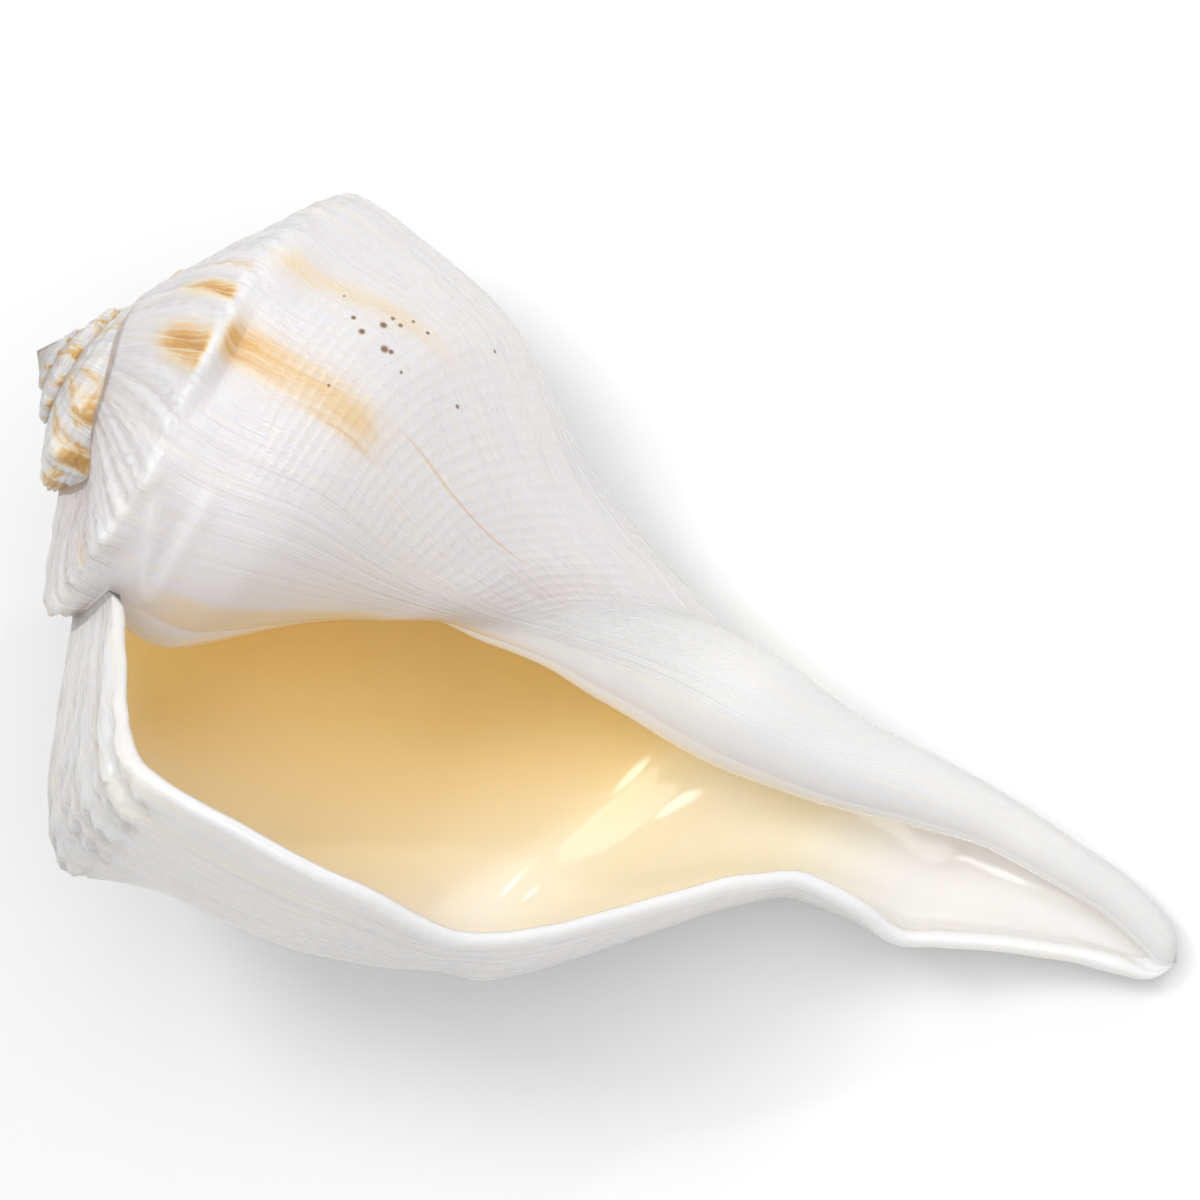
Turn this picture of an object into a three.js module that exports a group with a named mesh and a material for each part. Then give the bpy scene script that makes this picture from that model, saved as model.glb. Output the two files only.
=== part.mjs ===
// Left-handed whelk shell, sold as a conch: one grown piece, lying on its back with the mouth up.
// Millimetres, Z up. The coiling axis runs from the apex (-X) to the tip of the canal (+X).
import * as THREE from "three";

// ---- driving dimensions ----
const shellLength = 185; // apex to canal tip, along the coiling axis
const wallThickness = 2.55; // at the lip; thinner in the earlier whorls
const growthPerTurn = 1.97; // each whorl is this much larger than the one before
const whorls = 4.6; // turns that show outside
const chamberTurns = 1.25; // how far the hollow winds back from the mouth
const lipAngle = 42; // degrees round the axis at which growth stopped
const shoulderHeight = 45.6; // distance of the shoulder from the apex on the last whorl
const sutureHeight = 25.5; // where a whorl leaves the one before it
const floorSide = new THREE.Vector3(0.1495, -0.3184, 0.9361); // up, told in (side, axis, front) of the shell

// Outline of one whorl at full size: [distance from apex, radius].
const whorlOutline = [
  [21.3, 29.1], [23.5, 30.8], [25.5, 32.6], [27.6, 37.2], [30.6, 44.2], [34.6, 53.8], [38.4, 60.6],
  [41.4, 63.2], [45.6, 64.1], [49.6, 64], [56.1, 63.3], [64.8, 62.6], [73.4, 61.5], [81.9, 59.2],
  [86.3, 57.5], [95, 51.4], [103.5, 44.4], [112.2, 36.9], [120.8, 30.1], [129.5, 23.9],
  [138.2, 19.3], [149.1, 11.9], [163.3, 5], [178.9, 0.7], [426, 0],
];
// The columella, the pillar that the whorls turn round.
const columellaRadius = [
  [0, 0.3], [14.2, 1.4], [35.5, 2.6], [71, 3.7], [78.1, 4.3], [85.2, 5.4], [94.6, 7.7],
  [111.2, 9.1], [126.2, 7.2], [143.7, 5], [154.2, 3.7], [170.4, 3], [178.9, 2.8], [182.5, 2.3], [185, 0.1],
];
// The outer wall of the last half whorl, down to the open canal.
const canalWallRadius = [
  [0, 0], [68.2, 5.7], [79.5, 19.9], [88, 43.3], [93.7, 52.3], [99.4, 52.1], [105.1, 48.4],
  [111.2, 42.2], [119.3, 33.1], [126.2, 25.6], [133.5, 21], [142, 21.3], [148.8, 22.3],
  [154.2, 20], [161.9, 16], [170.4, 12.2], [177.5, 8.8], [181.8, 6], [183.9, 3.4], [185, 0.1],
];
// Sideways bend of the axis along the canal.
const axisBend = [
  [0, 0], [61.1, 0], [73.8, -1.1], [79.5, -2.6], [85.2, -4.3], [94.6, -6.4], [99.4, -7.1],
  [113.6, -8.1], [126.2, -8.7], [143.7, -11.8], [154.2, -13.1], [170.4, -12.9], [178.9, -11.4], [185, -9.1],
];
// Degrees round the axis at which that wall begins to part from the columella.
const canalStart = [[0, -80], [95, -80], [105, -105], [111, -128], [119, -145], [133, -165], [185, -165]];
// Degrees by which the lip edge lies ahead of or behind the lip angle.
const lipSweep = [
  [0, 3], [56.8, 3], [73.8, 1], [79.5, -1], [88, -7], [96.3, -12], [107.2, -13], [121.7, -14],
  [128.2, -16], [134.3, -18], [142.3, -26], [148.7, -37], [156.2, -40], [185, -44],
];
// How stretched the lower part of the outline is, by growth angle.
const stretchByAge = [
  [-2400, 0.78], [-500, 0.79], [-402, 0.81], [-222, 1], [-60, 1.17], [-42, 1.17], [-15, 1.1], [0, 1.06],
];
// Knobs and swellings of the last whorl: [degrees round the axis, height, half width in degrees,
// place on the outline, reach toward the apex, reach toward the canal].
const knobs = [
  [-300, 2.6, 6, 44, 4, 5], [-281, 2.6, 5, 45.5, 3.4, 4], [-250, 5, 8.5, 43.7, 3, 3.6],
  [-220, 3, 9, 44.5, 4.4, 8], [-188, 2, 14, 50, 13, 18], [-150, 2.4, 8, 43, 4.8, 8.5],
  [-115, 3.4, 7.5, 43.5, 4.8, 8.5], [-82, 3.4, 7.5, 43.5, 4.8, 8.5], [-52, 2.8, 8, 43, 4.8, 8.5],
  [-24, 2.8, 7.5, 42.5, 4.8, 8.5], [3, 3.7, 7.5, 42.5, 4.8, 7.5], [10, 4.4, 38, 33.5, 6, 6.5],
  [0, 2, 30, 84, 10, 9], [-89, -1.5, 11, 80, 34, 34],
];
// The young whorls lean: fall of their front and side toward the apex, and the heights over which it fades.
const lean = { front: 0.17, side: -0.05, from: 6, over: 16 };

// ---- mesh fineness ----
const columnsPerTurn = 60;
const shoulderRows = 6;
const rows = 27;
const ringStep = 15;

const turn = 2 * Math.PI;
const degree = Math.PI / 180;
const growth = Math.log(growthPerTurn) / turn;

const clamp = (x, low, high) => Math.min(Math.max(x, low), high);
const size = (angle) => Math.exp(growth * angle);

function smooth(x) {
  const y = clamp(x, 0, 1);
  return y * y * (3 - 2 * y);
}

function softMax(a, b, blend) {
  return (a + b + Math.hypot(a - b, blend)) / 2;
}

// A curve through the points that never overshoots them.
function curveThrough(points) {
  const last = points.length - 1;
  const slope = (i) => (points[i + 1][1] - points[i][1]) / (points[i + 1][0] - points[i][0]);
  const tangent = points.map((_, i) => {
    if (i === 0) return slope(0);
    if (i === last) return slope(last - 1);
    const before = slope(i - 1);
    const after = slope(i);
    return before * after <= 0 ? 0 : (2 * before * after) / (before + after);
  });
  return (x) => {
    let i = 0;
    while (i < last - 1 && x > points[i + 1][0]) i += 1;
    const span = points[i + 1][0] - points[i][0];
    const u = clamp((x - points[i][0]) / span, 0, 1);
    const rise = u * u * (3 - 2 * u);
    return points[i][1] * (1 - rise) + points[i + 1][1] * rise
      + span * (tangent[i] * u * (1 - u) * (1 - u) - tangent[i + 1] * u * u * (1 - u));
  };
}

const outlineAt = curveThrough(whorlOutline);
const columellaAt = curveThrough(columellaRadius);
const canalWallAt = curveThrough(canalWallRadius);
const bendAt = curveThrough(axisBend);
const canalStartAt = curveThrough(canalStart);
const sweepAt = curveThrough(lipSweep);
const stretchAt = curveThrough(stretchByAge);

// The last whorl slides down the one before it, after a slight rise.
function slide(angle) {
  const a = angle / degree;
  return 5.1 * clamp((a + 200) / 200, 0, 1) ** 2 - 4.3 * Math.exp(-(((a + 271) / 33) ** 2));
}

const shoulderAt = (angle) => size(angle) * shoulderHeight + slide(angle);

// Where a whorl leaves the one before it: lower just before the mouth, higher along the lip.
function sutureAt(angle) {
  const late = Math.min(angle, 0);
  const a = late / degree;
  const own = 3.2 * Math.exp(-(((a + 356) / 22) ** 2)) - 3.6 * smooth((a + 100) / 70);
  return size(angle) * sutureHeight + slide(late) + own;
}

function knobHeight(angle, place) {
  const around = angle / degree + lipAngle;
  let tall = 0;
  for (const [where, height, width, centre, upper, lower] of knobs) {
    const off = (place - centre) / (place < centre ? upper : lower);
    tall += height * Math.exp(-(((around - where) / width) ** 2) - off * off);
  }
  const beads = 2.5 * (0.5 + 0.5 * Math.cos(13 * (angle + lipAngle * degree) + 1)) ** 2;
  const late = smooth((around + 330) / 14);
  const off = (place - 43) / (place < 43 ? 4.8 : 8.5);
  return tall * late + beads * Math.exp(-off * off) * (1 - late);
}

// Radius of the whorl that was growing at this angle, at a distance from the apex.
function whorlRadius(angle, along) {
  const grown = size(angle);
  const shoulder = shoulderAt(angle);
  const rampScale = (shoulderHeight - sutureHeight) / (shoulder - sutureAt(angle));
  const sideScale = 1 / (grown * stretchAt(angle / degree));
  const place = shoulderHeight + (along - shoulder) * (along < shoulder ? rampScale : sideScale);
  const lastQuarter = 1 - 0.035 * smooth((angle / degree + 110) / 80);
  const bulge = outlineAt(clamp(place, 21.3, 410)) * lastQuarter + knobHeight(angle, place);
  const around = angle / degree + lipAngle;
  const taper = 115 - 17 * smooth((around + 80) / 60);
  const body = grown * bulge * (1 - smooth((along - taper) / 24));
  const pillar = columellaAt(along);
  const start = canalStartAt(along);
  const opening = smooth((around - start) / -start);
  const canal = pillar + Math.max(canalWallAt(along) - pillar, 0) * opening;
  return softMax(body, canal, 2 * Math.sqrt(smooth((shellLength - along) / 3.4)) + 0.07);
}

// The same, wrapped over the knobs of the whorl before at the suture.
function outerRadius(angle, along) {
  const own = whorlRadius(angle, along);
  const reach = 0.5 * size(angle) * shoulderHeight;
  const near = 1 - smooth((along - sutureAt(angle) - reach) / reach);
  if (near <= 0) return own;
  return own + (softMax(own, whorlRadius(angle - turn, along), 0.85 * size(angle)) - own) * near;
}

const wallAt = (angle) => wallThickness * Math.exp(0.6 * growth * Math.min(angle, 0));

// ---- closed surface, in (side, axis, front) ----
const points = [];
const faces = [];

function addPoint(angle, along, radius, swept = true) {
  const sweep = swept ? sweepAt(along) * degree * smooth((angle / degree + 90) / 90) : 0;
  const around = angle + lipAngle * degree + sweep;
  const side = bendAt(along) + radius * Math.cos(around);
  const front = radius * Math.sin(around);
  const fade = 1 - smooth((along - lean.from) / lean.over);
  points.push([side, along - (lean.front * front + lean.side * side) * fade, front]);
  return points.length - 1;
}

function addFace(a, b, c) {
  if (a !== b && b !== c && a !== c) faces.push(a, b, c);
}

function addQuad(a, b, c, d) {
  addFace(a, b, c);
  addFace(a, c, d);
}

// Distances from the apex at which a column has its points: ramp and shoulder first, then down to the end.
function rowHeights(angle, end = shellLength) {
  const start = sutureAt(angle);
  const next = sutureAt(angle + turn);
  const heights = [];
  for (let j = 0; j <= shoulderRows; j += 1) heights.push(start + ((next - start) * j) / shoulderRows);
  const first = next + 1.25 * wallAt(angle + turn);
  const count = rows - shoulderRows - 1;
  for (let j = 0; j <= count; j += 1) {
    const f = j / count;
    heights.push(first + (end - first) * (f - 0.085 * Math.sin(turn * f)));
  }
  return heights;
}

const tip = addPoint(0, shellLength, 0);
const firstColumn = -Math.round(whorls * columnsPerTurn);
const columns = new Map();
for (let n = firstColumn; n <= 0; n += 1) {
  const angle = (n * turn) / columnsPerTurn;
  const heights = rowHeights(angle);
  const count = n >= -columnsPerTurn ? rows : shoulderRows;
  const column = [];
  for (let j = 0; j <= count; j += 1) {
    if (j === 0 && columns.has(n - columnsPerTurn)) column.push(columns.get(n - columnsPerTurn)[shoulderRows]);
    else if (j === rows) column.push(tip);
    else column.push(addPoint(angle, heights[j], outerRadius(angle, heights[j])));
  }
  columns.set(n, column);
}
for (let n = firstColumn; n < 0; n += 1) {
  const here = columns.get(n);
  const next = columns.get(n + 1);
  for (let j = 0; j < Math.min(here.length, next.length) - 1; j += 1) {
    addQuad(here[j], next[j], next[j + 1], here[j + 1]);
  }
}

// The apex closes over the oldest turn.
points.push([0, -0.4, 0]);
const apex = points.length - 1;
const apexLoop = [];
for (let n = firstColumn; n < firstColumn + columnsPerTurn; n += 1) apexLoop.push(columns.get(n)[0]);
for (let j = shoulderRows; j > 0; j -= 1) apexLoop.push(columns.get(firstColumn)[j]);
apexLoop.forEach((a, i) => addFace(a, apex, apexLoop[(i + 1) % apexLoop.length]));

// The hollow: rings that wind back from the mouth between the outer wall and the whorl before.
const rings = [];
let floorEnd = shellLength;
for (let d = 0; d >= -360 * chamberTurns - 1e-6; d -= ringStep) {
  const angle = d * degree;
  const wall = wallAt(angle);
  const top = sutureAt(angle) + 1.25 * wall;
  const thinLip = smooth(1 + d / 40);
  const gapAt = (along) => {
    const outer = outerRadius(angle, along);
    const inner = whorlRadius(angle - turn, along);
    const fall = clamp(
      (outerRadius(angle, along + 0.1) - outerRadius(angle, along - 0.1)) / 0.2, -1.5, 1.5);
    const full = wall * Math.hypot(1, fall);
    const taken = full + (Math.min(full, (outer - inner) / 2) - full) * thinLip;
    return { inner, gap: outer - taken - inner };
  };
  if (d < 0) {
    let widest = top;
    let most = 0;
    for (let along = top; along < shellLength; along += 0.2) {
      const { gap } = gapAt(along);
      if (gap > most) {
        most = gap;
        widest = along;
      }
    }
    let end = widest;
    while (end < shellLength - 0.2 && gapAt(end + 0.2).gap > 0.42) end += 0.2;
    floorEnd = Math.min(floorEnd, end);
  }
  const core = [];
  let bottom = tip;
  if (d === 0) {
    for (let j = shoulderRows + 1; j < rows; j += 1) core.push(columns.get(-columnsPerTurn)[j]);
  } else {
    const heights = rowHeights(angle - turn, floorEnd).slice(shoulderRows + 1);
    bottom = heights.pop();
    for (const along of heights) core.push(addPoint(angle - turn, along, whorlRadius(angle - turn, along), false));
    bottom = addPoint(angle, bottom, whorlRadius(angle - turn, bottom) + 0.2);
  }
  const heights = rowHeights(angle);
  const outerWall = [];
  for (let j = 1; j < rows; j += 1) {
    const along = top + ((heights[j] - heights[0]) * (floorEnd - top)) / (shellLength - heights[0]);
    const { inner, gap } = gapAt(along);
    outerWall.push(addPoint(angle, along, inner + Math.max(gap, 0.2)));
  }
  rings.push({ core, bottom, outerWall });
}

const loopOf = ({ core, bottom, outerWall }) => [...core, bottom, ...outerWall.slice().reverse()];
for (let r = 0; r + 1 < rings.length; r += 1) {
  const near = loopOf(rings[r]);
  const far = loopOf(rings[r + 1]);
  near.forEach((a, i) => {
    const j = (i + 1) % near.length;
    addQuad(a, near[j], far[j], far[i]);
  });
}

// The rim of the lip joins the outside to the hollow.
const mouth = rings[0];
const insideEdge = [mouth.core[0], ...mouth.outerWall, tip];
const outsideEdge = columns.get(0);
for (let j = 0; j < rows; j += 1) {
  addQuad(outsideEdge[j], insideEdge[j], insideEdge[j + 1], outsideEdge[j + 1]);
}

// The far end of the hollow.
const deep = rings[rings.length - 1];
const pillarSide = [...deep.core, deep.bottom];
const wallSide = [deep.core[0], ...deep.outerWall, deep.bottom];
for (let i = 0, j = 0; i < pillarSide.length - 1 || j < wallSide.length - 1;) {
  const wallDone = j === wallSide.length - 1;
  const pillarLeft = i < pillarSide.length - 1;
  if (wallDone || (pillarLeft && points[pillarSide[i + 1]][1] <= points[wallSide[j + 1]][1])) {
    addFace(pillarSide[i], pillarSide[i + 1], wallSide[j]);
    i += 1;
  } else {
    addFace(pillarSide[i], wallSide[j + 1], wallSide[j]);
    j += 1;
  }
}

// ---- rest position: back and canal tip on the floor, axis along X ----
const up = floorSide.clone().normalize();
const axis = new THREE.Vector3(0, 1, 0);
const forward = axis.clone().addScaledVector(up, -axis.dot(up)).normalize();
const left = new THREE.Vector3().crossVectors(up, forward);
const placed = points.map((p) => {
  const v = new THREE.Vector3(...p);
  return new THREE.Vector3(v.dot(forward), v.dot(left), v.dot(up));
});
const bounds = new THREE.Box3().setFromPoints(placed);
const centre = bounds.getCenter(new THREE.Vector3());
const positions = placed.flatMap((v) => [v.x - centre.x, v.y - centre.y, v.z - bounds.min.z]);

const geometry = new THREE.BufferGeometry();
geometry.setAttribute("position", new THREE.Float32BufferAttribute(positions, 3));
const outward = [];
for (let i = 0; i < faces.length; i += 3) outward.push(faces[i], faces[i + 2], faces[i + 1]);
geometry.setIndex(outward);
geometry.computeVertexNormals();

const ivory = new THREE.MeshStandardMaterial({ color: 0xf3ebdf, roughness: 0.3, metalness: 0 });
const shell = new THREE.Mesh(geometry, ivory);
shell.name = "shell";

const group = new THREE.Group();
group.add(shell);
export default group;
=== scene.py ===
import math

import bpy
import numpy as np
from mathutils import Matrix, Vector


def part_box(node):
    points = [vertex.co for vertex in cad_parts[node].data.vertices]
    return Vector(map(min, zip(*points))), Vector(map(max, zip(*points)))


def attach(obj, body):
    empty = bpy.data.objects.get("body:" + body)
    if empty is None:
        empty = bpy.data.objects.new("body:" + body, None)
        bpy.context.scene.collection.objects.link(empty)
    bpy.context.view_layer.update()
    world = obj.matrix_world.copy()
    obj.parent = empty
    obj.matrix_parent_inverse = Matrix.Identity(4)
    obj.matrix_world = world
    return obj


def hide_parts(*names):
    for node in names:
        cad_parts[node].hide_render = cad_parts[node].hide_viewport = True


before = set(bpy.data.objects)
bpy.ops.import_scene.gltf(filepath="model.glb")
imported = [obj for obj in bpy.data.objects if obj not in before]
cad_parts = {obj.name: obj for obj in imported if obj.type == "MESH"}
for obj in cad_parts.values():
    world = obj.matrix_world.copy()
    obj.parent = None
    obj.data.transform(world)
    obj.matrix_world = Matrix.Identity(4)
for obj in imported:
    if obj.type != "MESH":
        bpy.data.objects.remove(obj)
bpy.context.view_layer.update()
print("stage: frame loaded")

turn = 2 * math.pi
deg = math.pi / 180

# the shell's growth, in millimetres
# side, axis and front are the shell's own directions: axis runs from apex to canal tip
shellGrowth = {
    "length": 185.0,
    "wall": 2.55,
    "growthPerTurn": 1.97,
    "whorls": 4.6,
    "chamberTurns": 1.25,
    "lipAngle": 42.0,
    "shoulder": 45.6,
    "suture": 25.5,
    "up": (0.1495, -0.3184, 0.9361),
    "columnsPerTurn": 288,
    "rows": 140,
    "shoulderRows": 24,
}

# each curve is a list of (distance or angle, value)
curves = {
    "outline": [
        (21.3, 29.1), (23.5, 30.8), (25.5, 32.6), (27.6, 37.2), (30.6, 44.2), (34.6, 53.8), (38.4, 60.6),
        (41.4, 63.2), (45.6, 64.1), (49.6, 64), (56.1, 63.3), (64.8, 62.6), (73.4, 61.5), (81.9, 59.2),
        (86.3, 57.5), (95, 51.4), (103.5, 44.4), (112.2, 36.9), (120.8, 30.1), (129.5, 23.9),
        (138.2, 19.3), (149.1, 11.9), (163.3, 5), (178.9, 0.7), (426, 0)],
    "columella": [
        (0, 0.3), (14.2, 1.4), (35.5, 2.6), (71, 3.7), (78.1, 4.3), (85.2, 5.4), (94.6, 7.7),
        (111.2, 9.1), (126.2, 7.2), (143.7, 5), (154.2, 3.7), (170.4, 3), (178.9, 2.8),
        (182.5, 2.3), (185, 0.1)],
    "canalWall": [
        (0, 0), (68.2, 5.7), (79.5, 19.9), (88, 43.3), (93.7, 52.3), (99.4, 52.1), (105.1, 48.4),
        (111.2, 42.2), (119.3, 33.1), (126.2, 25.6), (133.5, 21), (142, 21.3), (148.8, 22.3),
        (154.2, 20), (161.9, 16), (170.4, 12.2), (177.5, 8.8), (181.8, 6), (183.9, 3.4), (185, 0.1)],
    "bend": [
        (0, 0), (61.1, 0), (73.8, -1.1), (79.5, -2.6), (85.2, -4.3), (94.6, -6.4), (99.4, -7.1),
        (113.6, -8.1), (126.2, -8.7), (143.7, -11.8), (154.2, -13.1), (170.4, -12.9),
        (178.9, -11.4), (185, -9.1)],
    "canalStart": [(0, -80), (95, -80), (105, -105), (111, -128), (119, -145), (133, -165), (185, -165)],
    "sweep": [
        (0, 3), (56.8, 3), (73.8, 1), (79.5, -1), (88, -7), (96.3, -12), (107.2, -13), (121.7, -14),
        (128.2, -16), (134.3, -18), (142.3, -26), (148.7, -37), (156.2, -40), (185, -44)],
    "stretch": [
        (-2400, 0.78), (-500, 0.79), (-402, 0.81), (-222, 1), (-60, 1.17), (-42, 1.17), (-15, 1.1),
        (0, 1.06)],
}

# shoulder knobs of the last whorl: degrees round the axis, height, half width in degrees,
# place on the outline, reach up the ramp, reach down the side
knobs = [
    (-300, 2.8, 6.0, 44.0, 4.0, 5.0),
    (-281, 3.2, 4.5, 45.5, 3.2, 3.6),
    (-250, 5.6, 8.5, 43.7, 2.8, 3.3),
    (-247, -2.2, 8.0, 49.8, 2.4, 3.4),
    (-220, 3.0, 9.0, 44.5, 4.4, 8.0),
    (-188, 2.0, 14.0, 50.0, 13.0, 18.0),
    (-150, 2.4, 8.0, 43.0, 4.8, 8.5),
    (-115, 3.4, 7.5, 43.5, 4.8, 8.5),
    (-82, 3.4, 7.5, 43.5, 4.8, 8.5),
    (-52, 2.8, 7.5, 43.0, 4.8, 8.5),
    (-24, 2.8, 7.0, 42.5, 4.8, 8.5),
    (3, 3.7, 7.5, 42.5, 4.8, 7.5),
    (10, 4.4, 38.0, 33.5, 6.0, 6.5),
    (0, 2.0, 30.0, 84.0, 10.0, 9.0),
    (-89, -1.5, 11.0, 80.0, 34.0, 34.0),    # the flat that the shell lies on
]

# the young whorls lean: fall of a whorl's front and side toward the apex,
# and the height where it starts to fade and the length over which it does
lean = {"front": 0.17, "side": -0.05, "from": 6.0, "over": 16.0}

growthRate = math.log(shellGrowth["growthPerTurn"]) / turn


def smooth(x):
    y = np.clip(x, 0, 1)
    return y * y * (3 - 2 * y)


def softMax(a, b, blend):
    return (a + b + np.hypot(a - b, blend)) / 2


def curveThrough(points):
    # passes through the points without overshooting them
    x = np.array([p[0] for p in points], float)
    y = np.array([p[1] for p in points], float)
    slope = np.diff(y) / np.diff(x)
    tangent = np.zeros(len(x))
    tangent[0], tangent[-1] = slope[0], slope[-1]
    same = slope[:-1] * slope[1:] > 0
    both = np.where(same, slope[:-1] + slope[1:], 1)
    tangent[1:-1] = np.where(same, 2 * slope[:-1] * slope[1:] / both, 0)

    def at(value):
        v = np.asarray(value, float)
        i = np.clip(np.searchsorted(x, v) - 1, 0, len(x) - 2)
        span = x[i + 1] - x[i]
        u = np.clip((v - x[i]) / span, 0, 1)
        rise = u * u * (3 - 2 * u)
        return (y[i] * (1 - rise) + y[i + 1] * rise
                + span * (tangent[i] * u * (1 - u) ** 2 - tangent[i + 1] * u * u * (1 - u)))
    return at


curve = {name: curveThrough(points) for name, points in curves.items()}


def size(angle):
    return np.exp(growthRate * angle)


def slide(angle):
    # the last whorl slides down the one before it, after a slight rise
    a = angle / deg
    return 5.1 * np.clip((a + 200) / 200, 0, 1) ** 2 - 4.3 * np.exp(-((a + 271) / 33) ** 2)


def shoulderAt(angle):
    return size(angle) * shellGrowth["shoulder"] + slide(angle)


def sutureAt(angle):
    late = np.minimum(angle, 0)
    own = 3.2 * np.exp(-((late / deg + 356) / 22) ** 2) - 3.6 * smooth((late / deg + 100) / 70)
    return size(angle) * shellGrowth["suture"] + slide(late) + own


def placeOn(angle, along):
    # where a height on this whorl lies on the full-size outline
    shoulder, suture = shoulderAt(angle), sutureAt(angle)
    ramp = (shellGrowth["shoulder"] - shellGrowth["suture"]) / (shoulder - suture)
    side = 1 / (size(angle) * curve["stretch"](angle / deg))
    return shellGrowth["shoulder"] + (along - shoulder) * np.where(along < shoulder, ramp, side)


def wobble(x, seed):
    # a smooth wandering value between about -1 and 1, from a few fixed waves
    r = np.random.default_rng(seed)
    total = 0
    for i in range(6):
        pace = (0.6 + 1.7 * r.random()) * (1 + i * 0.8)
        total = total + np.sin(x * pace + r.random() * turn) / (1 + i * 0.5)
    return total / 2.6


relief = {
    "foldHeight": 2.2,       # folds of the ramp near the lip
    "growthRidge": 0.34,     # uneven ridges along old lips
    "earlyRib": 2.8,         # riblets of the older whorls, at full size
    "earlyCord": 1.3,        # cords that bead those riblets
    "rampCord": 0.35,        # cords on the last ramp
    "keel": 0.9,             # the sharp edge of the shoulder before the mouth
    "callusRidge": 1.3,      # two soft ridges that meet at the mouth's upper corner
    "bead": 4.6,             # shoulder beads of the older whorls, at full size
    "beadsPerTurn": 13,
    "drawnIn": 4.6,          # how far the body draws in behind the mouth's upper edge
    "raggedEdge": 0.6,       # bumps of the canal's upper edge
}


def knobHeight(angle, place):
    around = angle / deg + shellGrowth["lipAngle"]
    tall = 0
    for where, height, width, centre, upper, lower in knobs:
        off = (place - centre) / np.where(place < centre, upper, lower)
        tall = tall + height * np.exp(-((around - where) / width) ** 2 - off * off)
    beads = np.cos(relief["beadsPerTurn"] * (angle + shellGrowth["lipAngle"] * deg) + 1)
    beads = relief["bead"] * (0.5 + 0.5 * beads) ** 2
    off = (place - 43) / np.where(place < 43, 4.8, 8.5)
    late = smooth((around + 330) / 14)
    drawn = relief["drawnIn"] * np.exp(-((around + 352) / 34) ** 2 - ((place - 64) / 15) ** 2)
    return tall * late + beads * np.exp(-off * off) * (1 - late) - drawn


def ridgeLine(angle, place, start, end, line, width):
    # a rounded ridge that follows place = line(degrees) between two growth angles
    a = angle / deg
    along = smooth((a - start) / 8) * (1 - smooth((a - end + 8) / 8))
    off = (place - line(a)) / width
    return along * np.exp(-off * off)


def surfaceRelief(angle, place):
    # fine shape of the outside, at full size
    a = angle / deg
    early = 1 - smooth((a + 392) / 24)
    ramp = smooth((place - 25) / 4) * (1 - smooth((place - 42) / 5))
    upper = smooth((place - 25) / 4) * (1 - smooth((place - 56) / 8))
    rib = np.cos(27 * angle + 1.3 * np.sin(5 * angle)) * (0.6 + 0.4 * wobble(angle * 3, 3))
    cord = np.cos(place * turn / 5.0 + 0.8)
    ribs = relief["earlyRib"] * 0.5 * rib
    cords = relief["earlyCord"] * 0.5 * cord * (1 + 0.7 * rib)
    total = early * upper * (ribs + cords)
    last = 1 - early
    rampCord = np.cos(place * turn / 4.2 + 0.6 * wobble(angle * 2, 5))
    total = total + last * ramp * relief["rampCord"] * 0.5 * rampCord
    slant = a * 0.5 + (place - 34) * 0.22
    folded = 0.45 + 0.55 * smooth((a + 95) / 60) + 0.9 * np.exp(-((a + 325) / 45) ** 2)
    folded = folded * relief["foldHeight"]
    total = total + last * ramp * folded * (0.7 * wobble(slant, 7) + 0.5 * wobble(slant * 2.3, 8))
    below = smooth((place - 44) / 8)
    sway = 1.6 * np.sin(place * 0.045) + 0.9 * np.sin(place * 0.11 + 1)
    ridges = wobble(a * 0.62 + sway * 0.5, 11) * 0.55 + wobble(a * 1.7 + sway, 12) * 0.45
    strength = 0.4 + 0.6 * np.exp(-((a + 236) / 26) ** 2)
    glaze = (1 - smooth((a + 342) / 34)) * last
    total = total + below * relief["growthRidge"] * ridges * strength * (1 - 0.8 * glaze)
    callus = ridgeLine(angle, place, -362, -316, lambda d: 63 - (d + 321) * 0.14, 3.0)
    callus = callus + ridgeLine(angle, place, -362, -322, lambda d: 47.5 - (d + 322) * 0.55, 2.4)
    callus = callus - 0.7 * ridgeLine(angle, place, -362, -322, lambda d: 56 - (d + 322) * 0.32, 3.0)
    keel = ridgeLine(angle, place, -356, -266, lambda d: 44.2 + 1.2 * np.sin(d * 0.17 + 0.6), 1.9)
    keel = keel * relief["keel"]
    return total + relief["callusRidge"] * callus + keel


def whorlRadius(angle, along, fine=True):
    grown = size(angle)
    place = placeOn(angle, along)
    around = angle / deg + shellGrowth["lipAngle"]
    lastQuarter = 1 - 0.035 * smooth((angle / deg + 110) / 80)
    bulge = curve["outline"](np.clip(place, 21.3, 410)) * lastQuarter + knobHeight(angle, place)
    if fine:
        bulge = bulge + surfaceRelief(angle, place)
    taper = 115 - 17 * smooth((around + 80) / 60)
    body = grown * bulge * (1 - smooth((along - taper) / 24))
    pillar = curve["columella"](along)
    start = curve["canalStart"](along)
    opening = smooth((around - start) / -start)
    canal = pillar + np.maximum(curve["canalWall"](along) - pillar, 0) * opening
    if fine:
        # the canal's upper edge is ragged
        ragged = smooth((along - 146) / 6) * (1 - smooth((along - 172) / 8))
        ragged = ragged * np.exp(-((angle / deg + 271) / 9) ** 2)
        canal = canal + relief["raggedEdge"] * np.maximum(wobble(along * 0.9, 21), 0) * ragged
    return softMax(body, canal, 2 * np.sqrt(smooth((shellGrowth["length"] - along) / 3.4)) + 0.07)


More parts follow.
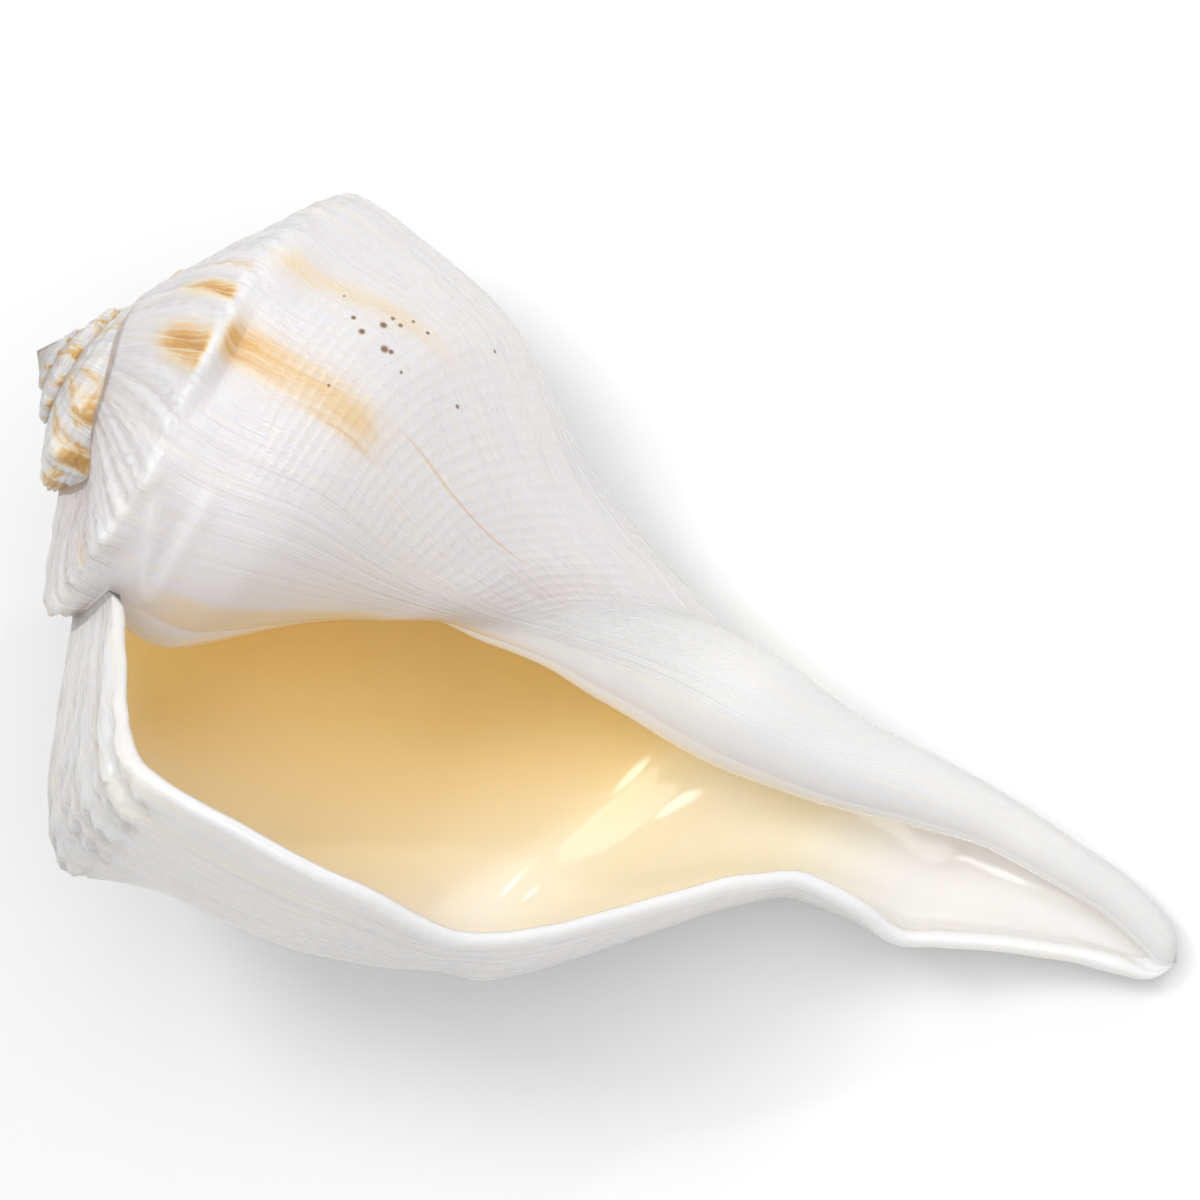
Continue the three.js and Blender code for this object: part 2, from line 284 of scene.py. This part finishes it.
def outerRadius(angle, along, fine=True):
    own = whorlRadius(angle, along, fine)
    reach = 0.5 * size(angle) * shellGrowth["shoulder"]
    near = 1 - smooth((along - sutureAt(angle) - reach) / reach)
    before = whorlRadius(angle - turn, along, fine)
    return np.where(near > 0, own + (softMax(own, before, 0.6 * size(angle)) - own) * near, own)


def wallAt(angle):
    return shellGrowth["wall"] * np.exp(0.6 * growthRate * np.minimum(angle, 0))


def place3d(angle, along, radius, swept=True):
    sweep = curve["sweep"](along) * deg * smooth((angle / deg + 90) / 90) if swept else 0
    around = angle + shellGrowth["lipAngle"] * deg + sweep
    side, front = curve["bend"](along) + radius * np.cos(around), radius * np.sin(around)
    fall = (lean["front"] * front + lean["side"] * side) * (1 - smooth((along - lean["from"]) / lean["over"]))
    return np.stack([side, along - fall, front], -1)


def rowHeights(angle, end=None):
    # angle is one number; rows run over the ramp and shoulder, then down to the end
    n, m = shellGrowth["rows"], shellGrowth["shoulderRows"]
    end = shellGrowth["length"] if end is None else end
    start = sutureAt(angle)
    following = sutureAt(angle + turn)
    upper = start + (following - start) * np.linspace(0, 1, m + 1)
    first = following + 1.25 * wallAt(angle + turn) * min(1.0, 0.3 + 6.0 / m)
    f = np.linspace(0, 1, n - m)
    return np.concatenate([upper, first + (end - first) * (f - 0.085 * np.sin(turn * f))])


class ShellMesh:
    # collects points, faces and what the material needs to know at each point
    def __init__(self):
        self.points, self.faces, self.marks = [], [], []
        self.count = 0

    def add(self, points, angle, place, depth, along):
        flat = points.reshape(-1, 3)
        ids = np.arange(self.count, self.count + len(flat)).reshape(points.shape[:-1])
        self.count += len(flat)
        self.points.append(flat)
        shape = points.shape[:-1]
        self.marks.append(np.stack([np.broadcast_to(v, shape).reshape(-1) for v in
                                    (angle / deg, place, depth, along)], -1))
        return ids

    def quads(self, a, b, c, d):
        self.faces.append(np.stack([v.reshape(-1) for v in np.broadcast_arrays(a, b, c, d)], -1))


def buildShell():
    s = shellGrowth
    cpt, n, m = s["columnsPerTurn"], s["rows"], s["shoulderRows"]
    mesh = ShellMesh()
    tipPoint = place3d(np.array([0.0]), np.array([s["length"]]), np.array([0.0]))
    tip = mesh.add(tipPoint, 0.0, 150.0, 0.0, s["length"])[0]
    first = -int(round(s["whorls"] * cpt))
    angles = np.arange(first, 1) * turn / cpt
    heights = np.array([rowHeights(a) for a in angles])
    radii = outerRadius(angles[:, None], heights)
    pts = place3d(angles[:, None], heights, radii)
    col = np.full((len(angles), n + 1), -1)
    body = len(angles) - 1 - cpt
    places = placeOn(angles[:, None], heights)
    col[:body, :m + 1] = mesh.add(pts[:body, :m + 1], angles[:body, None], places[:body, :m + 1],
                                  0.0, heights[:body, :m + 1])
    col[body:, :n] = mesh.add(pts[body:, :n], angles[body:, None], places[body:, :n],
                              0.0, heights[body:, :n])
    col[body:, n] = tip
    for i in range(cpt, len(angles)):
        col[i, 0] = col[i - cpt, m]
    mesh.quads(col[:body, :m], col[1:body + 1, :m], col[1:body + 1, 1:m + 1], col[:body, 1:m + 1])
    mesh.quads(col[body:-1, :n], col[body + 1:, :n], col[body + 1:, 1:], col[body:-1, 1:])
    # the apex closes over the oldest turn
    apex = mesh.add(np.array([[0.0, -0.4, 0.0]]), float(angles[0]), 30.0, 0.0, 0.0)[0]
    loop = np.concatenate([col[:cpt, 0], col[0, m:0:-1]])
    mesh.quads(loop, np.full(len(loop), apex), np.full(len(loop), apex), np.roll(loop, -1))
    # the hollow winds back from the mouth
    steps = np.concatenate([np.arange(0, -60, -1.25), np.arange(-60, -200, -4),
                            np.arange(-200, -360 * s["chamberTurns"] - 1, -10)])
    rings, floorEnd = [], s["length"]
    for d in steps:
        angle = d * deg
        wall = wallAt(angle)
        rows = rowHeights(angle)
        top = rows[0] + 1.25 * wall * min(1.0, 0.3 + 6.0 / m)
        grid = np.linspace(top, s["length"], 900)
        outer = outerRadius(angle, grid, False)
        inner = whorlRadius(angle - turn, grid, False)
        fall = np.clip(np.gradient(outer, grid), -1.5, 1.5)
        full = wall * np.hypot(1, fall)
        kernel = np.ones(15) / 15
        full = np.convolve(np.pad(full, 7, mode="edge"), kernel, mode="valid")
        taken = full + (np.minimum(full, (outer - inner) / 2) - full) * smooth(1 + d / 40)
        gap = outer - taken - inner
        if d < 0:
            j = int(np.argmax(gap))
            while j < len(gap) - 1 and gap[j + 1] > 0.42:
                j += 1
            floorEnd = min(floorEnd, grid[j])
        h = top + (rows[1:n] - rows[0]) * (floorEnd - top) / (s["length"] - rows[0])
        r = np.interp(h, grid, inner) + np.maximum(np.interp(h, grid, gap), 0.2)
        wallIds = mesh.add(place3d(angle, h, r), angle, placeOn(angle, h), 1.0 - d, h)
        if d == 0:
            core, bottom = col[body, m + 1:n], tip
        else:
            hc = rowHeights(angle - turn, floorEnd)[m + 1:]
            core = mesh.add(place3d(angle - turn, hc[:-1], whorlRadius(angle - turn, hc[:-1]), False),
                            angle - turn, placeOn(angle - turn, hc[:-1]), -d * smooth(-d / 12), hc[:-1])
            bottom = mesh.add(place3d(angle, hc[-1:], whorlRadius(angle - turn, hc[-1:], False) + 0.2),
                              angle, 100.0, 1.0 - d, hc[-1:])[0]
        rings.append((core, bottom, wallIds))
    loops = [np.concatenate([c, [b], w[::-1]]) for c, b, w in rings]
    for near, far in zip(loops[:-1], loops[1:]):
        mesh.quads(near, np.roll(near, -1), np.roll(far, -1), far)
    # the lip is rounded between its outer and inner edge
    outside = pts[-1, :n]
    insideIds = np.concatenate([[rings[0][0][0]], rings[0][2]])
    allPoints = np.concatenate(mesh.points)
    inside = allPoints[insideIds]
    ahead = pts[-1, :n] - pts[-2, :n]
    ahead /= np.linalg.norm(ahead, axis=-1, keepdims=True) + 1e-9
    across = inside - outside
    width = np.linalg.norm(across, axis=-1, keepdims=True)
    ahead -= across * (ahead * across).sum(-1, keepdims=True) / (width ** 2 + 1e-9)
    ahead /= np.linalg.norm(ahead, axis=-1, keepdims=True) + 1e-9
    lines = [col[-1, :n]]
    for f in (0.1, 0.3, 0.5, 0.7, 0.9):
        p = outside + across * (1 - math.cos(math.pi * f)) / 2 + ahead * width * 0.5 * math.sin(math.pi * f)
        lines.append(mesh.add(p[1:], 0.0, placeOn(0.0, heights[-1, 1:n]), f, heights[-1, 1:n]))
    lines.append(insideIds)
    strips = [lines[0][1:]] + lines[1:-1] + [lines[-1][1:]]
    for a, b in zip(strips[:-1], strips[1:]):
        mesh.quads(a[:-1], b[:-1], b[1:], a[1:])
        mesh.quads(a[-1:], b[-1:], np.array([tip]), np.array([tip]))
        mesh.quads(lines[0][:1], b[:1], a[:1], a[:1])
    mesh.quads(lines[0][:1], insideIds[:1], insideIds[1:2], insideIds[1:2])
    # far end of the hollow
    core, bottom, wallIds = rings[-1]
    pillarSide = list(core) + [bottom]
    wallSide = [core[0]] + list(wallIds) + [bottom]
    allPoints = np.concatenate(mesh.points)
    tris, i, j = [], 0, 0
    pillarHeight, wallHeight = allPoints[pillarSide, 1], allPoints[wallSide, 1]
    while i < len(pillarSide) - 1 or j < len(wallSide) - 1:
        pillarLeft, wallLeft = i < len(pillarSide) - 1, j < len(wallSide) - 1
        if not wallLeft or (pillarLeft and pillarHeight[i + 1] <= wallHeight[j + 1]):
            tris.append((pillarSide[i], pillarSide[i + 1], wallSide[j]))
            i += 1
        else:
            tris.append((pillarSide[i], wallSide[j + 1], wallSide[j]))
            j += 1
    faces = []
    for q in np.concatenate(mesh.faces):
        f = list(dict.fromkeys(q.tolist()))
        if len(f) >= 3:
            faces.append(f[::-1])
    faces += [list(t)[::-1] for t in tris]
    return allPoints, faces, np.concatenate(mesh.marks)


points, faces, marks = buildShell()
print("stage: shell surface computed,", len(points), "points,", len(faces), "faces")

# rest position: back and canal tip on the floor
up = Vector(shellGrowth["up"]).normalized()
axis = Vector((0, 1, 0))
forward = (axis - up * axis.dot(up)).normalized()
left = up.cross(forward)
toRow = np.array([forward, left, up])
placed = points @ toRow.T / 1000
low, high = placed.min(0), placed.max(0)
boxLow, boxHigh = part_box("shell")
shift = np.array([(boxLow.x + boxHigh.x - low[0] - high[0]) / 2,
                  (boxLow.y + boxHigh.y - low[1] - high[1]) / 2, boxLow.z - low[2]])
placed += shift

data = bpy.data.meshes.new("whelk")
data.from_pydata(placed.tolist(), [], faces)
data.validate()
data.update()
for name, column in (("growthAngle", 0), ("place", 1), ("depth", 2), ("along", 3)):
    attribute = data.attributes.new(name, "FLOAT", "POINT")
    attribute.data.foreach_set("value", marks[:, column].astype(np.float32))
data.polygons.foreach_set("use_smooth", [True] * len(data.polygons))
whelk = bpy.data.objects.new("whelk", data)
bpy.context.scene.collection.objects.link(whelk)
print("stage: shell mesh built, size", [round(float(v), 4) for v in (placed.max(0) - placed.min(0))])


# material
class Nodes:
    # short ways to make and join shader nodes
    def __init__(self, name):
        self.material = bpy.data.materials.new(name)
        self.material.use_nodes = True
        self.tree = self.material.node_tree
        self.tree.nodes.clear()

    def make(self, kind, **values):
        node = self.tree.nodes.new(kind)
        for key, value in values.items():
            setattr(node, key, value)
        return node

    def feed(self, socket, value):
        if isinstance(value, bpy.types.NodeSocket):
            self.tree.links.new(value, socket)
        elif value is not None:
            socket.default_value = value

    def calc(self, operation, a, b=None, c=None, clamp=False):
        node = self.make("ShaderNodeMath", operation=operation, use_clamp=clamp)
        for socket, value in zip(node.inputs, (a, b, c)):
            self.feed(socket, value)
        return node.outputs[0]

    def times(self, *values):
        total = values[0]
        for value in values[1:]:
            total = self.calc("MULTIPLY", total, value)
        return total

    def plus(self, *values):
        total = values[0]
        for value in values[1:]:
            total = self.calc("ADD", total, value)
        return total

    def line(self, value, slope, start):
        return self.calc("MULTIPLY_ADD", value, slope, start)

    def mark(self, name):
        return self.make("ShaderNodeAttribute", attribute_name=name).outputs["Fac"]

    def ramp(self, value, fromMin, fromMax, toMin=0.0, toMax=1.0):
        node = self.make("ShaderNodeMapRange", interpolation_type="SMOOTHSTEP")
        for socket, v in zip(node.inputs, (value, fromMin, fromMax, toMin, toMax)):
            self.feed(socket, v)
        return node.outputs[0]

    def vector(self, x=0.0, y=0.0, z=0.0):
        node = self.make("ShaderNodeCombineXYZ")
        for socket, v in zip(node.inputs, (x, y, z)):
            self.feed(socket, v)
        return node.outputs[0]

    def noise(self, where, scale, detail=3.0, rough=0.5, warp=0.0):
        node = self.make("ShaderNodeTexNoise")
        self.feed(node.inputs["Vector"], where)
        for key, v in (("Scale", scale), ("Detail", detail), ("Roughness", rough), ("Distortion", warp)):
            self.feed(node.inputs[key], v)
        return node.outputs["Fac"]

    def mix(self, share, a, b):
        node = self.make("ShaderNodeMix", data_type="RGBA", clamp_factor=True)
        self.feed(node.inputs[0], share)
        for socket, v in ((node.inputs[6], a), (node.inputs[7], b)):
            self.feed(socket, v if isinstance(v, bpy.types.NodeSocket) else (*v, 1.0))
        return node.outputs[2]

    def bell(self, value, centre, width):
        # 1 at centre, falling to 0 within about 1.7 widths
        off = self.calc("DIVIDE", self.calc("SUBTRACT", value, centre), width)
        return self.calc("POWER", math.e, self.times(off, off, -1.0))


colours = {
    "ivory": (0.82, 0.81, 0.79),
    "cool": (0.75, 0.75, 0.765),
    "cream": (0.83, 0.78, 0.68),
    "peach": (0.84, 0.66, 0.43),
    "amber": (0.70, 0.41, 0.13),
    "brown": (0.50, 0.25, 0.07),
    "dot": (0.22, 0.10, 0.035),
    "deep": (0.95, 0.69, 0.30),
    "apricot": (0.95, 0.91, 0.83),
    "canal": (0.94, 0.87, 0.70),
    "lip": (0.88, 0.875, 0.865),
    # colour of the painted glow in the depth, standing in for daylight through the wall
    "through": (0.075, 0.046, 0.014),
}

# brown specks on the last whorl: growth angle, place on the outline, radius in millimetres
specks = [
    (-265.8, 69.4, 0.36), (-267.4, 73.3, 0.5), (-262.2, 75.5, 0.55), (-258.9, 75.5, 0.32),
    (-258.9, 77.9, 0.36), (-255.3, 78.7, 0.25), (-254.5, 82.7, 0.3), (-266.8, 80.1, 0.6),
    (-266.1, 81.6, 0.4), (-257.8, 99.0, 0.3),
    (-237.3, 91.0, 0.28), (-262.5, 63.8, 0.2), (-267.9, 86.8, 0.25), (-283.3, 75.5, 0.24),
]


# stains that run down the whorl: growth angle at place 0 and its change for each millimetre of place,
# half width in degrees, and the places where they fade in and out
bands = {
    "wide": {"angle": -288.6, "slant": 0.04, "width": 5.6, "begins": (43, 48), "ends": (84, 102)},
    "wideEdge": {"angle": -293.4, "slant": 0.04, "width": 1.1, "begins": (60, 85), "ends": (88, 100)},
    "faint": {"angle": -278.0, "slant": 0.27, "width": 3.4, "begins": (42, 50), "ends": (76, 96)},
    "oldLip": {"angle": -307.6, "slant": 0.29, "width": 0.5, "begins": (92, 106), "ends": (130, 142)},
}

# brown streaks of the last ramp: growth angle, half width in degrees, strength
rampStreaks = [(-291.0, 5.0, 1.0), (-276.0, 2.6, 0.9), (-268.0, 2.0, 0.4), (-352.0, 4.0, 0.35)]

# fine relief, in millimetres
grain = {
    "cordSpacing": 3.1, "cord": 0.03, "latticeCord": 0.09, "coarseLine": 0.55, "fineLine": 0.26,
    "pit": 0.04, "latticePit": 0.12, "skin": 0.05,
}

gloss = {
    "roughness": 0.14,
    "ior": 1.5,
    "translucent": 0.6,                  # share of the light that enters the wall
    "reach": 0.006,                      # how far it goes, in metres
    "reachByColour": (1.0, 0.85, 0.6),
    # strength of the painted glow in the depth
    "glow": 1.0,
}


def fineRelief(n, angle, place, depth, along, growth, lines):
    # height of cords and growth lines, in millimetres
    solid = n.make("ShaderNodeTexCoord").outputs["Object"]
    waver = n.noise(n.vector(n.times(angle, 0.05), n.times(place, 0.05), 3.0), 1.0)
    cordPhase = n.times(n.plus(place, n.times(waver, 3.0)), turn / grain["cordSpacing"])
    cords = n.calc("POWER", n.line(n.calc("SINE", cordPhase), 0.5, 0.5), 1.6)
    coarse = n.noise(n.vector(n.times(growth, 0.36), n.times(place, 0.008), 2.0), 1.0, 2.0, 0.5)
    pits = n.noise(n.vector(n.times(growth, 1.6), n.times(place, 0.55), 7.0), 1.0, 2.0)
    lattice = n.times(n.ramp(place, 58, 84), n.ramp(angle, -318, -296))
    height = n.plus(n.times(cords, n.line(lattice, grain["latticeCord"], grain["cord"])),
                    n.times(coarse, grain["coarseLine"]), n.times(lines, grain["fineLine"]),
                    n.times(pits, n.line(lattice, grain["latticePit"], grain["pit"])))
    # none inside, little under the glaze beside the mouth and along the canal
    glaze = n.times(n.ramp(angle, -346, -312, 1.0, 0.0), n.ramp(angle, -372, -362), n.ramp(place, 46, 54))
    height = n.times(height, n.ramp(depth, 0.0, 1.0, 1.0, 0.0), n.line(glaze, -0.85, 1.0),
                     n.line(n.ramp(along, 84, 118), -0.8, 1.0))
    return n.plus(height, n.times(n.noise(solid, 90.0, 3.0), grain["skin"]))


def outsideColour(n, angle, place, depth, along, growth, lines):
    c = colours
    solid = n.make("ShaderNodeTexCoord").outputs["Object"]
    tone = n.mix(n.ramp(n.noise(solid, 28.0, 3.0, 0.55), 0.35, 0.7), c["cool"], c["ivory"])
    bandLines = n.noise(n.vector(n.times(growth, 0.5), n.times(place, 0.012), 9.0), 1.0, 3.0)
    tone = n.mix(n.times(n.ramp(bandLines, 0.5, 0.72), 0.6), tone, c["cream"])
    # the grooves of the growth lines turn a little toward cream
    tone = n.mix(n.times(n.ramp(lines, 0.42, 0.30), 0.5), tone, c["cream"])
    # flames on the spire, strongest between its beads
    old = n.ramp(angle, -372, -400)
    flameField = n.noise(n.vector(n.times(angle, 0.06), n.times(place, 0.035), 1.0), 1.0, 4.0, 0.6, 0.6)
    perTurn = relief["beadsPerTurn"]
    beadPhase = n.line(angle, perTurn * deg, perTurn * shellGrowth["lipAngle"] * deg + 1 - turn / 4)
    valley = n.times(n.ramp(place, 38, 52), old, n.ramp(n.calc("SINE", beadPhase), 0.3, -0.7))
    flames = n.calc("MAXIMUM", n.times(old, n.ramp(flameField, 0.47, 0.70, 0.0, 0.8)),
                    n.times(valley, n.ramp(flameField, 0.30, 0.62, 0.35, 1.0)))
    # streaks on the last ramp, just above the shoulder
    onRamp = n.times(n.ramp(place, 44.5, 42.0), n.ramp(place, 30, 38))
    for where, width, strength in rampStreaks:
        streak = n.bell(growth, n.line(place, -0.25, where + 9.5), width)
        streak = n.times(streak, onRamp, n.ramp(lines, 0.3, 0.55, 0.5, 1.0), strength)
        flames = n.calc("MAXIMUM", flames, streak)
    tone = n.mix(n.times(n.ramp(flames, 0.0, 0.55), 0.9), tone, c["peach"])
    tone = n.mix(n.times(n.ramp(flames, 0.35, 0.8), 0.9), tone, c["amber"])
    tone = n.mix(n.times(n.ramp(flames, 0.75, 1.0), 0.6), tone, c["brown"])

    def band(name, across):
        b = bands[name]
        side = n.bell(across, n.line(place, b["slant"], b["angle"]), b["width"])
        return n.times(side, n.ramp(place, *b["begins"]), n.ramp(place, *b["ends"], 1.0, 0.0))

    # two bands run down from the shoulder, broken by growth lines
    streaks = n.noise(n.vector(n.times(growth, 0.9), n.times(place, 0.05), 4.0), 1.0, 3.0, 0.6)
    wide = band("wide", angle)
    tone = n.mix(n.times(wide, n.ramp(streaks, 0.25, 0.6, 0.6, 1.0)), tone, c["peach"])
    core = n.times(n.ramp(wide, 0.3, 0.95), n.ramp(place, 50, 70, 1.0, 0.35))
    core = n.calc("MAXIMUM", core, n.times(band("wideEdge", angle), 0.6))
    tone = n.mix(n.times(core, n.ramp(streaks, 0.3, 0.65, 0.35, 0.9)), tone, c["amber"])
    faint = n.times(band("faint", angle), n.ramp(streaks, 0.3, 0.6, 0.3, 1.0))
    tone = n.mix(n.times(faint, 0.8), tone, c["peach"])
    # an old lip edge stained brown
    tone = n.mix(n.times(band("oldLip", growth), 0.55), tone, c["amber"])
    # painted shade: a warm darkening along the upper edge of the mouth, where the body curves into it
    mouthShade = n.times(n.ramp(angle, -345, -352), n.ramp(place, 60, 80), n.ramp(along, 88, 70))
    tone = n.mix(n.times(mouthShade, 0.75), tone, c["peach"])
    spots = 0.0
    for where, at, radius in specks:
        dx = n.times(n.calc("SUBTRACT", angle, where), 0.62)
        dy = n.times(n.calc("SUBTRACT", place, at), 0.6)
        off = n.calc("SQRT", n.plus(n.times(dx, dx), n.times(dy, dy)))
        spots = n.calc("MAXIMUM", spots, n.ramp(off, radius * 0.5, radius * 1.4, 1.0, 0.0))
    return n.mix(n.times(spots, n.ramp(depth, 0.0, 1.0, 1.0, 0.0), 0.9), tone, c["dot"])


def insideColour(n, depth, along):
    # pale at the lip and canal, ochre in the depth
    c = colours
    tone = n.mix(n.ramp(depth, 4.0, 60.0), c["lip"], c["apricot"])
    tone = n.mix(n.ramp(depth, 30.0, 130.0), tone, c["deep"])
    tone = n.mix(n.times(n.ramp(along, 100.0, 124.0), n.ramp(depth, 8.0, 60.0)), tone, c["canal"])
    return n.mix(n.ramp(along, 124.0, 150.0), tone, c["lip"])


def shellMaterial():
    n = Nodes("shell")
    angle, place, depth, along = n.mark("growthAngle"), n.mark("place"), n.mark("depth"), n.mark("along")
    # growth lines swing back and forth a little down the whorl
    growth = n.plus(angle, n.times(n.calc("SINE", n.times(place, 0.045)), 1.8),
                    n.times(n.calc("SINE", n.line(place, 0.11, 1.0)), 0.9))
    lines = n.noise(n.vector(n.times(growth, 1.1), n.times(place, 0.02), 0.0), 1.0, 4.0, 0.62)
    outside = outsideColour(n, angle, place, depth, along, growth, lines)
    isOutside = n.ramp(depth, 0.0, 1.0, 1.0, 0.0)
    shader = n.make("ShaderNodeBsdfPrincipled")
    n.feed(shader.inputs["Base Color"], n.mix(isOutside, insideColour(n, depth, along), outside))
    # painted glow: emission stands in for daylight that comes through the wall and warms the depth
    through = n.mix(n.ramp(depth, 40.0, 125.0), (0.0, 0.0, 0.0), colours["through"])
    n.feed(shader.inputs["Emission Color"], through)
    shader.inputs["Emission Strength"].default_value = gloss["glow"]
    bump = n.make("ShaderNodeBump")
    n.feed(bump.inputs["Height"], fineRelief(n, angle, place, depth, along, growth, lines))
    bump.inputs["Strength"].default_value = 1.0
    bump.inputs["Distance"].default_value = 0.001    # heights are in millimetres
    n.feed(shader.inputs["Normal"], bump.outputs[0])
    shader.inputs["Roughness"].default_value = gloss["roughness"]
    shader.inputs["IOR"].default_value = gloss["ior"]
    shader.inputs["Subsurface Weight"].default_value = gloss["translucent"]
    shader.inputs["Subsurface Radius"].default_value = gloss["reachByColour"]
    shader.inputs["Subsurface Scale"].default_value = gloss["reach"]
    out = n.make("ShaderNodeOutputMaterial")
    n.tree.links.new(shader.outputs[0], out.inputs[0])
    return n.material


data.materials.append(shellMaterial())
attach(whelk, "root")
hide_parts("shell")
print("stage: shell material made")

# floor
floorLook = {"size": 3.0, "colour": (0.93, 0.93, 0.93)}
bpy.ops.mesh.primitive_plane_add(size=floorLook["size"], location=(0, 0, 0))
floor = bpy.context.object
floor.name = "floor"
paper = bpy.data.materials.new("paper")
paper.use_nodes = True
paperShader = paper.node_tree.nodes["Principled BSDF"]
paperShader.inputs["Base Color"].default_value = (*floorLook["colour"], 1)
paperShader.inputs["Roughness"].default_value = 0.9
paperShader.inputs["Specular IOR Level"].default_value = 0.0
floor.data.materials.append(paper)

# camera: faces the shell's front, turned so that the spire is up and to the left
view = {"roll": 31.0, "aimSide": -11.0, "aimAxis": 87.3, "aimFront": 14.0, "distance": 1.3,
        "field": 0.1704, "sensor": 36}
roll = view["roll"] * deg


def rowPoint(side, along, front):
    return Vector(toRow @ np.array([side, along, front]) / 1000 + shift)


def rowDirection(side, along, front):
    return Vector(toRow @ np.array([side, along, front])).normalized()


toRight = rowDirection(-math.sin(roll), math.cos(roll), 0)
toTop = rowDirection(-math.cos(roll), -math.sin(roll), 0)
toEye = rowDirection(0, 0, 1)
aim = rowPoint(view["aimSide"], view["aimAxis"], view["aimFront"])
cameraData = bpy.data.cameras.new("camera")
camera = bpy.data.objects.new("camera", cameraData)
bpy.context.scene.collection.objects.link(camera)
facing = Matrix((toRight, toTop, toEye)).transposed().to_4x4()
camera.matrix_world = Matrix.Translation(aim + toEye * view["distance"]) @ facing
cameraData.sensor_width = view["sensor"]
cameraData.lens = view["sensor"] * view["distance"] / view["field"]
cameraData.clip_start = 0.01
cameraData.clip_end = 20
bpy.context.scene.camera = camera

# light: soft studio, brighter from the top of the view
studio = {
    "world": 0.52,
    "key": 3.4, "keySize": 0.4,
    "soft": 7.4, "softSize": 1.0,
    "glint": 1.2, "glintSize": 0.07,
}
world = bpy.data.worlds.new("studio")
bpy.context.scene.world = world
world.use_nodes = True
world.node_tree.nodes["Background"].inputs["Color"].default_value = (1, 1, 1, 1)
world.node_tree.nodes["Background"].inputs["Strength"].default_value = studio["world"]


def areaLight(name, energy, width, where):
    lamp = bpy.data.lights.new(name, "AREA")
    lamp.energy, lamp.size, lamp.shape = energy, width, "DISK"
    holder = bpy.data.objects.new(name, lamp)
    bpy.context.scene.collection.objects.link(holder)
    holder.location = where
    holder.rotation_euler = (aim - where).to_track_quat("-Z", "Y").to_euler()


areaLight("key", studio["key"], studio["keySize"], aim + toTop * 0.45 - toRight * 0.6 + toEye * 0.95)
areaLight("soft", studio["soft"], studio["softSize"], aim + toTop * 0.2 + toEye * 1.25)
areaLight("glint", studio["glint"], studio["glintSize"],
          aim + toTop * 0.76 + toRight * 0.42 + toEye * 0.82)
bpy.context.scene.view_settings.view_transform = "Standard"
print("stage: camera and lights set")
